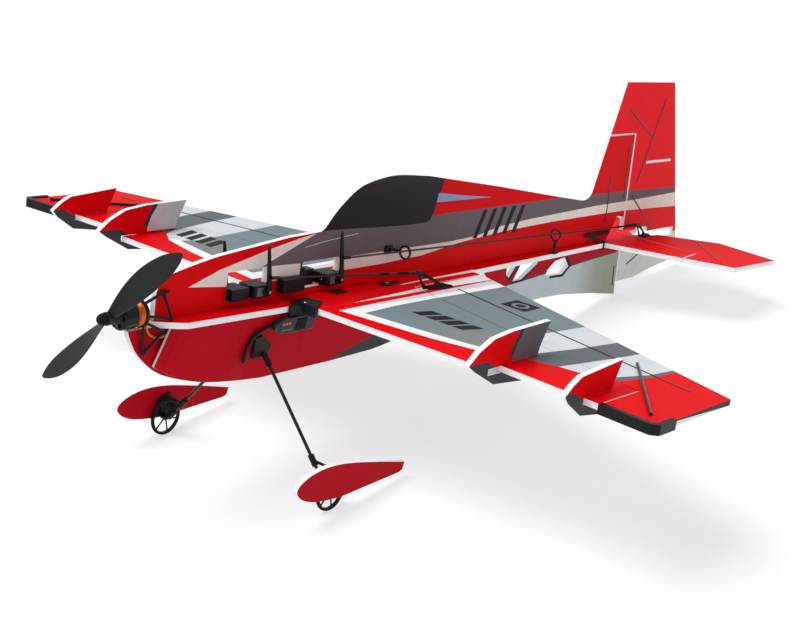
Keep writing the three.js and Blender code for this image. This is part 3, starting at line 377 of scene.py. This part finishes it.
# ---------------------------------------------------------------- wing and tailplane print, seen from above
WING = [
    ("light", [(60.4, -131), (165.6, -117.1), (216.2, -104), (238, -88), (285, -71), (312, -67), (334, -55),
               (352, -8), (358, 60), (230, 110), (60, 160)]),
    ("white", [(60.4, -131), (165.6, -117.1), (216.2, -104), (224, -98), (212, -91), (160, -102),
               (78.9, -112.6), (76, -60), (77, 0), (84, 125), (85, 150), (72, 150), (69.1, -2.5)]),
    ("slate", [(78.9, -112.6), (160, -102), (209, -93), (203, -70), (213, 5), (222, 80), (224, 110),
               (85, 150), (77, 0), (76, -60)]),
    ("beige", [(138, -104.7), (160, -102), (209, -93), (201, -68), (194, -40), (180, -46)]),
    ("dark_slate", [(238, -88), (285, -71), (299, 5), (307, 60), (273, 70), (262, 0), (246, -72)]),
    ("dark_slate", [(334, -55), (338, -60), (343, -46), (352, -12), (359, 40), (354, 45), (347, -8),
                    (331, -50)]),
    ("white", [(48.5, -96), (52, -20), (52.5, 30), (58, 131), (58, 150), (38, 150), (42, 40), (45, -10)]),
    ("white", [(25.5, 8), (25.5, 60), (27.5, 150), (20, 150), (22, 60), (23.5, 20)]),
]


def slanted_bars(ink, corner, size, lean, count, fill=0.62):
    """A row of plain slanted bars in a rectangle."""
    (x, y), (w, h) = corner, size
    step = w / count
    return [(ink, [(x + k * step, y), (x + (k + fill) * step, y), (x + (k + fill) * step + lean, y + h),
                   (x + k * step + lean, y + h)]) for k in range(count)]


def disc(ink, centre, radius, sides):
    return ink, [(centre[0] + radius * math.cos(t), centre[1] + radius * math.sin(t)) for t in turns(sides)]


BADGE = (140, 74)
NEAR_DECALS = slanted_bars("decal", (98, -63), (70, 25), 9, 4, 0.8) + [
    ("decal", [(124, 58), (156, 58), (156, 90), (124, 90)]),
    disc("slate", BADGE, 10, 20),
    disc("decal", BADGE, 6, 16),
]
FAR_DECALS = slanted_bars("decal", (-232, -80), (62, 34), -9, 4, 0.7)
TOP = WING + mirrored(WING) + NEAR_DECALS + FAR_DECALS
def wing_hinge(x, y):
    """Along the aileron's hinge line, and along the elevator's."""
    return abs(y - 18 + 0.2496 * (abs(x) - 46)) < 2.2 and abs(x) > 47 or abs(y - 535) < 2.2 and abs(x) > 18


def wing_tip(x, y):
    return abs(x) > 421 and y > -60


UNDERSIDE = [
    ("light", [(60, -200), (336, -200), (356, 160), (60, 160)]),
    ("light", [(-60, -200), (-336, -200), (-356, 160), (-60, 160)]),
]

printed("horizontal_sheet", Z, "red", TOP, UNDERSIDE, bevel=0.3, minus_base="light", hinge=wing_hinge)
for label, side in SIDES:
    half = WING + NEAR_DECALS if side == LEFT else mirrored(WING) + FAR_DECALS
    under = UNDERSIDE[:1] if side == LEFT else UNDERSIDE[1:]
    printed(label + "_aileron", Z, "red", half, under, bevel=0.3, hinge=wing_hinge, tip=wing_tip)
printed("elevator", Z, "red", bevel=0.3, minus_base="light", hinge=wing_hinge)

# ---------------------------------------------------------------- fuselage print, seen from the left: (y, z)
FUSELAGE = [
    ("pale", [(-286, 27), (-246, 39.5), (-180, 53), (-137, 60), (-100, 64.5), (-60, 64), (140, 50),
              (216, 41.8), (279, 44.8), (345, 46.8), (438.6, 49.7), (506.4, 49.9), (640, 53),
              (650, 32.4), (508, 37.2),
              (442, 37.5), (330, 37), (230, 34.5), (140, 29), (70, 21), (0, 18.8), (-140, 19), (-235, 21.5)]),
    ("grey", [(-188, 36), (-150, 49.4), (-108, 64.2), (-60, 66), (75, 66), (345, 66.6), (400, 66),
              (508, 63.8), (642, 60.6), (642, 53.2), (506.4, 49.9), (438.6, 49.7), (345, 46.8), (279, 44.8),
              (216, 41),
              (172, 34), (120, 32), (-60, 33), (-130, 33.5)]),
    ("canopy", [(-112, 64), (-98, 64.5), (-68, 63.5), (0, 60), (40, 58.6), (70, 58.8), (77, 61.5), (82, 70),
                (88, 88), (96, 112), (96, 125), (-112, 125)]),
    ("blue", [(86.5, 91), (84.5, 80.5), (192, 78.5), (140, 84)]),
]
SIDE_BARS = slanted_bars("decal", (164, 31), (98, 33), 14, 5, 0.42)
RUDDER_MARK = [("white", [(540, 98.5), (606, 98.5), (605, 102), (539, 102)])]
NEAR_SIDE = FUSELAGE + SIDE_BARS
printed("upper_fuselage", X, "body_red", NEAR_SIDE, NEAR_SIDE)

RUDDER = FUSELAGE[:2] + RUDDER_MARK + [("tail_grey", [(490, -4), (700, -4), (700, -70), (490, -70)])]
printed("rudder", X, "fin_red", RUDDER, RUDDER)

LOWER = [
    ("belly_grey_with_painted_shadow", [(150, -60), (206, -24), (240, -37), (290, -34), (330, -31), (380, -28), (440, -23.5),
                    (500, -20), (512, -14), (530, -14), (530, -95), (150, -95)]),
    ("dark_grey", [(206, -24), (240, -35), (290, -32), (330, -29), (380, -26), (440, -21.5), (500, -18),
                   (508, -13), (512, -14), (500, -20), (440, -23.5), (380, -28), (330, -31), (290, -34),
                   (240, -37)]),
    ("decal", [(258, -33.5), (262, -32), (280, -32), (313, -14.5), (318, -14), (284, -34.5), (262, -35)]),
    ("decal", [(246, -22), (252.5, -27), (266, -11.5), (272, -11.5), (255, -31), (246, -25)]),
    ("decal", [(373, -35.5), (386, -26.5), (374, -13.5), (380, -12), (393, -26), (376, -39), (345, -38),
               (345, -34.8)]),
]
# The lower fuselage's red base is darkened with painted shade.
printed("lower_fuselage", X, "red_with_painted_shade", LOWER, LOWER)

# ---------------------------------------------------------------- cheeks, side plates and wheel pants
CHEEK = [
    ("dark_grey", [(-76, -79), (-9, -58), (70, -52), (70, -95), (-76, -95)]),
]


def skin(node, layers, base):
    """A thin curved foam skin: its broad faces are printed, whichever way they lean."""
    bm = local_copy(node)
    for _, polygon in layers:
        cut_along(bm, polygon, Y, Z)
    inks = ["foam", base] + [ink for ink, _ in layers]
    for f in bm.faces:
        f.normal_update()
        centre = f.calc_center_median()
        ink = base if abs(f.normal.x) > 0.6 else "foam"
        if ink == base:
            for name, polygon in layers:
                if inside((centre.y, centre.z), polygon):
                    ink = name
        f.material_index = inks.index(ink)
    piece = piece_from(bm, node + "_print", [INK[k] for k in inks], body_of(node), bevel=0.3)
    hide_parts(node)


# The cheeks' red is darkened with painted shade.
for label, _ in SIDES:
    skin(label + "_cheek", CHEEK, "red_with_painted_shade")

UNDER_WING = ("dark_grey", [(-176, 8.5), (-146, 8), (-140, 3), (-120, -6), (-60, -9), (-20, -12),
                            (-20, -60), (-176, -60)])
INNER_PLATE = [
    UNDER_WING,
    ("dark_grey", [(-114, 8), (-108, 20), (-101, 32), (-96, 45), (-89, 45), (-94, 32), (-102, 20),
                   (-107, 8)]),
]
REAR_OF_PLATE = [(-107, 8), (-102, 20), (-94, 32), (-89, 45), (-20, 45), (-20, 2), (-107, 2)]
for label, side in SIDES:
    # The rear of each plate is dark slate on its outboard face and light grey on its inboard face: the dark
    # slate is painted shade.
    outboard_with_painted_shade = INNER_PLATE + [("dark_slate", REAR_OF_PLATE)]
    inboard = INNER_PLATE + [("light", REAR_OF_PLATE)]
    plus, minus = (outboard_with_painted_shade, inboard) if side == LEFT else (inboard, outboard_with_painted_shade)
    printed(label + "_inner_side_plate", X, "red", plus, minus)
    printed(label + "_outer_side_plate", X, "red", [UNDER_WING], [UNDER_WING])
    printed(label + "_wheel_pant", X, "red_with_painted_shade")

# ---------------------------------------------------------------- hard parts
for node in nodes:
    if node.endswith(("_servo_arm", "_horn", "_tail_bracket", "_wing_clamp", "_gear_mount", "_axle_bracket",
                      "_rod_guide", "_rod_post", "_tip_guard")) or node == "motor_mount":
        finished(node, PLASTIC, bevel=0.2)
    elif node.endswith("_servo"):
        finished(node, PLASTIC, bevel=0.35)
    elif node.endswith(("_pushrod", "_gear_strut", "_stiffener")):
        finished(node, CARBON)
finished("prop_retainer", RUBBER)
finished("motor_bell", ANODISED)
finished("motor_leads", SLEEVING)
finished("battery_lead", PLASTIC)
finished("battery", WRAP, bevel=1.5)
finished("receiver", PLASTIC, bevel=0.5)
finished("speed_controller", CIRCUIT, bevel=0.6)


# ---------------------------------------------------------------- propeller
PROP_Y, THRUST_Z, PROP_RADIUS = -378, 8.5, 117


def blade(bm, side):
    """A twisted blade whose sections shrink to a rounded tip."""
    rings = []
    stations = 30
    for k in range(stations + 1):
        share = math.sin(math.pi / 2 * k / stations)
        radius = 3.5 + (PROP_RADIUS - 3.5) * share
        chord = 9 + 14.5 * math.sin(math.pi * min(1, share * 0.9 + 0.02)) ** 1.1
        chord *= math.sqrt(max(0.012, 1 - max(0, (share - 0.74) / 0.26) ** 2.4))
        thick = 3.3 - 2.3 * share
        pitch = math.atan2(24, radius + 14)
        sweep = 3.4 * math.sin(math.pi * share) - 2 * share
        ring = []
        for n in range(20):
            t = 2 * math.pi * n / 20
            c = 0.5 * chord * math.cos(t)
            h = 0.42 * thick * math.sin(t) * (1 + 0.25 * math.cos(t)) + 0.05 * thick * (1 - math.cos(t) ** 2)
            z = -c * math.cos(pitch) + h * math.sin(pitch) + sweep
            y = c * math.sin(pitch) + h * math.cos(pitch)
            ring.append(bm.verts.new((side * radius, y, side * z)))
        rings.append(ring)
    bm.faces.new(rings[0])
    bm.faces.new(rings[-1][::-1])
    for a, b in zip(rings, rings[1:]):
        for n in range(20):
            m = (n + 1) % 20
            bm.faces.new((a[n], b[n], b[m], a[m]))


bm = bmesh.new()
for side in (1, -1):
    blade(bm, side)
lathed(bm, (0, 0, 0), (0, 1, 0), [(2, -4.5), (5.6, -4.5), (6.3, -3.8), (6.3, 3.8), (5.6, 4.5), (2, 4.5)])
bm.transform(Matrix.Translation((0, PROP_Y, THRUST_Z)) @ Matrix.Rotation(math.radians(-45), 4, "Y"))
propeller = piece_from(bm, "propeller_finish", [PROP], "rotor", smooth=True)
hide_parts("propeller")

# ---------------------------------------------------------------- motor: iron teeth wound with copper wire
finished("motor_stator", COPPER)
bm = bmesh.new()
for n in range(9):
    turn = Matrix.Rotation(2 * math.pi * n / 9, 3, "Y")
    for k in range(5):
        y = -361.2 + 1.7 * k
        loop = [turn @ Vector((9.9 + 0.9 * math.cos(t), 0, 2.9 * math.sin(t))) for t in turns(12)]
        tube(bm, [p + Vector((0, y, THRUST_Z)) for p in loop + loop[:1]], 0.62, 8)
piece_from(bm, "motor_windings", [COPPER], "airframe", smooth=True)

# ---------------------------------------------------------------- wheels: foam-edged rims on moulded spokes
AXLE_X, AXLE_Y, AXLE_Z, WHEEL_RADIUS = 118.2, -179.5, -162.8, 20
for label, side in SIDES:
    at = Vector((side * AXLE_X, AXLE_Y, AXLE_Z))
    bm = bmesh.new()
    tyre = [(WHEEL_RADIUS - 1.3 + 1.3 * math.cos(t), 1.9 * math.sin(t)) for t in turns(14)]
    lathed(bm, at, (1, 0, 0), tyre, 64)
    rim = len(bm.faces)
    lathed(bm, at, (1, 0, 0), [(16.9, -1.5), (17.9, -1.5), (17.9, 1.5), (16.9, 1.5)], 64)
    lathed(bm, at, (1, 0, 0), [(1.6, -2.2), (3.1, -2.2), (3.5, -1.8), (3.5, 1.8), (3.1, 2.2), (1.6, 2.2)], 32)
    for n in range(6):
        t = 2 * math.pi * (n + 0.25) / 6
        out = Vector((0, -math.sin(t), math.cos(t)))
        tube(bm, [at + out * 2.9, at + out * 8, at + out * 17.2], [1.05, 0.75, 0.95], 10)
    for f in list(bm.faces)[rim:]:
        f.material_index = 1
    node = label + "_wheel"
    wheel = piece_from(bm, node + "_finish", [RUBBER, PLASTIC], node, smooth=True)
    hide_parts(node)

# ---------------------------------------------------------------- fastenings and small fittings
def screw(name, body, at, normal, radius=1.4):
    """A domed socket-head screw standing on a face."""
    bm = bmesh.new()
    socket = 0.38 * radius
    head = [(socket, 0), (radius, 0), (radius, 0.45), (0.82 * radius, 0.85), (socket, 0.95)]
    lathed(bm, at, normal, head, 24)
    return piece_from(bm, name, [STEEL], body, smooth=True)


def rod_ends(node):
    """The two ends of a pushrod, the one at its servo arm first."""
    points = [v.co.copy() for v in local_copy(node).verts]
    low, high = min(p.y for p in points), max(p.y for p in points)
    first = [p for p in points if p.y < low + 0.8]
    last = [p for p in points if p.y > high - 2.5]
    return sum(first, Vector()) / len(first), sum(last, Vector()) / len(last)


def broad_face(node, direction):
    """Centre, normal and lengthwise direction of a node's largest face that looks a given way."""
    bm = local_copy(node)
    bmesh.ops.dissolve_limit(bm, angle_limit=0.01, verts=bm.verts, edges=bm.edges)
    looks = [f for f in bm.faces if f.normal.dot(Vector(direction)) > 0.6]
    face = max(looks, key=lambda f: f.calc_area())
    normal = face.normal.copy()
    along = Vector((0, 1, 0))
    along = (along - normal * along.dot(normal)).normalized()
    return face.calc_center_median(), normal, along


for node in ("left_aileron_pushrod", "right_aileron_pushrod", "elevator_pushrod", "rudder_pushrod"):
    start, end = rod_ends(node)
    along = (end - start).normalized()
    bm = bmesh.new()
    tube(bm, [end - along * 20.5, end - along * 18.4], 1.05, 12)
    piece_from(bm, node + "_thread", [STEEL], body_of(node), smooth=True)
    bm = bmesh.new()
    for far, near in ((37, 20.5), (62, 49)):
        steps = [end - along * (far + (near - far) * t) for t in (0, 0.06, 0.94, 1)]
        tube(bm, steps, [1.25, 1.5, 1.5, 1.25], 14)
    piece_from(bm, node + "_sleeve", [RUBBER], body_of(node), smooth=True)

SERVO_LENGTH, EAR = 23, 2.2
for node in ("left_aileron_servo", "right_aileron_servo", "elevator_servo"):
    side = RIGHT if node.startswith("right") else LEFT
    shaft = LOCAL @ Vector(joints[node + "_shaft"]["pos_m"])
    rear = shaft.y + 6.2
    for k, y in enumerate((rear + EAR, rear - SERVO_LENGTH - EAR)):
        screw("%s_screw_%d" % (node, k), "airframe", (side * 5, y, shaft.z), (side, 0, 0))
    arm = local_copy(node + "_arm")
    face = max(side * v.co.x for v in arm.verts)
    screw(node + "_arm_screw", body_of(node + "_arm"), (side * face, shaft.y, shaft.z), (side, 0, 0), 1.6)
    bm = bmesh.new()
    square = ((0, -1), (1, -1), (1, 1), (0, 1))
    loop = [(side * 11.4, rear - 19 + 9 * t, shaft.z + 4.4 * u) for t, u in square]
    slab(bm, [Vector(c) for c in loop], 0.3, Vector((side, 0, 0)))
    piece_from(bm, node + "_label", [LABEL], "airframe", bevel=0.1)

# the speed controller's heat shrink shows its board: ribs, a plain label and three square parts
centre, normal, along = broad_face("speed_controller", (1, 0, 0))
across = normal.cross(along)


def on_controller(name, finish, place, size, height):
    bm = bmesh.new()
    middle = centre + along * place[0] + across * place[1]
    square = ((-1, -1), (1, -1), (1, 1), (-1, 1))
    corners = [middle + along * a * size[0] / 2 + across * b * size[1] / 2 for a, b in square]
    slab(bm, corners, height, normal)
    piece_from(bm, name, [finish], "airframe", bevel=0.12)


for k in range(9):
    on_controller("controller_rib_%d" % k, ANODISED, (7 + 1.7 * k, 0), (0.8, 13.5), 0.7)
on_controller("controller_label", CIRCUIT, (-7, 0), (19, 14), 0.25)
for k in range(3):
    on_controller("controller_part_%d" % k, AMBER, (-13 + 4.2 * k, 3.2), (2.3, 2.6), 0.8)
on_controller("controller_stripe", LABEL, (-6, -4.2), (15, 1.3), 0.4)

# a pad and a screwed clip lie on the sheet beside the fuselage
bm = bmesh.new()
slab(bm, [Vector(c) for c in ((8, -88, 0), (20, -88, 0), (20, -70, 0), (8, -70, 0))], 1.1)
piece_from(bm, "sheet_pad", [PLASTIC], "airframe", bevel=0.3)
bm = bmesh.new()
half_turn = [math.pi + math.pi * n / 12 for n in range(13)]
clip = [(17 + 6.4 * math.cos(t), -6 + 7 * math.sin(t)) for t in half_turn]
slab(bm, [Vector((x, y, 0)) for x, y in clip + [(20.5, 8), (17.8, 18), (16.2, 18), (13.5, 8)]], 1.5)
piece_from(bm, "sheet_clip", [PLASTIC], "airframe", bevel=0.35)
screw("sheet_clip_screw", "airframe", (17, -3, 1.5), (0, 0, 1), 2)
for label, side in SIDES:
    centre_top, up_face, _ = broad_face(label + "_wing_clamp", (0, 0, 1))
    screw(label + "_clamp_screw", "airframe", centre_top, up_face, 2)

bm = bmesh.new()
route = ((-127, 50), (-100, 53.2), (-70, 55.4), (-46, 57))
tube(bm, [(HALF_FOAM + 0.4, y, z) for y, z in route], 0.38, 8)
piece_from(bm, "antenna_wire", [INK["light"]], "airframe", smooth=True)

# ---------------------------------------------------------------- carbon strips glued on the foam
for label, side in SIDES:
    aileron = label + "_aileron"
    strip(aileron + "_strip", aileron, (side * 66, 60.7, 0), (side * 395.5, -15.9, 0), side=(0, 0, 1))
    ends = (side * 62, 606, 0), (side * 141.3, 528, 0)
    strip(label + "_elevator_strip", "elevator", *ends, 1.6, side=(0, 0, 1))
for k, (body, a, b) in enumerate((
    ("airframe", (454.5, 84.3), (458.8, 25.4)),
    ("airframe", (488.2, 126.1), (496.5, 54.7)),
    ("airframe", (502.6, -39.1), (506, -66)),
    ("rudder", (472, 173.9), (542.5, 134.3)),
    ("rudder", (563.9, 186), (524, 74.5)),
    ("rudder", (517.3, 55.9), (588, 5)),
    ("rudder", (566.8, -26.3), (534.1, -39.7)),
)):
    strip("tail_strip_%d" % k, body, (HALF_FOAM, *a), (HALF_FOAM, *b), side=(1, 0, 0))

# ---------------------------------------------------------------- floor, light and camera
bm = bmesh.new()
REACH = 30
quarters = ((-REACH, -REACH), (REACH, -REACH), (REACH, REACH), (-REACH, REACH))
corners = [bm.verts.new((x, y, -0.0002)) for x, y in quarters]
bm.faces.new(corners)
floor_mesh = bpy.data.meshes.new("floor")
bm.to_mesh(floor_mesh)
bm.free()
paper = material("pale_floor", (176, 177, 179), rough=0.9, grain=0.004, scale=2, shine=0.0, glow=0.55)
floor_mesh.materials.append(paper)
floor = bpy.data.objects.new("floor", floor_mesh)
bpy.context.scene.collection.objects.link(floor)

world = bpy.data.worlds.new("studio")
world.use_nodes = True
world.node_tree.nodes["Background"].inputs["Color"].default_value = (1, 1, 1, 1)
world.node_tree.nodes["Background"].inputs["Strength"].default_value = 0.6
bpy.context.scene.world = world
bpy.context.scene.view_settings.view_transform = "Standard"


def sun(name, direction, strength, spread):
    light = bpy.data.lights.new(name, "SUN")
    light.energy = strength
    light.angle = math.radians(spread)
    lamp = bpy.data.objects.new(name, light)
    lamp.rotation_euler = Vector(direction).to_track_quat("-Z", "Y").to_euler()
    bpy.context.scene.collection.objects.link(lamp)


sun("overhead", (0.3, 0.35, -1), 2.1, 35)

# The camera stands ahead of the left wing tip and a little above, in the airframe's axes.
AZIMUTH, ELEVATION, ROLL = (math.radians(a) for a in (36.912, 15.849, 7.99))
level = math.cos(ELEVATION)
CAMERA_PLACE = Vector((1003.38, -1284.18, 421.45))
back = Vector((math.sin(AZIMUTH) * level, -math.cos(AZIMUTH) * level, math.sin(ELEVATION)))
right = (-back).cross(Vector((0, 0, 1))).normalized()
up = right.cross(-back)
turned_right = math.cos(ROLL) * right + math.sin(ROLL) * up
turned_up = -math.sin(ROLL) * right + math.cos(ROLL) * up
stand = Matrix((turned_right, turned_up, back)).transposed().to_4x4()
stand = TILT @ stand
stand.translation = AIRFRAME @ CAMERA_PLACE
lens = bpy.data.cameras.new("camera")
lens.sensor_width = 36
lens.lens = 1554.45 / 800 * 36
camera = bpy.data.objects.new("camera", lens)
camera.matrix_world = stand
bpy.context.scene.collection.objects.link(camera)
bpy.context.scene.camera = camera
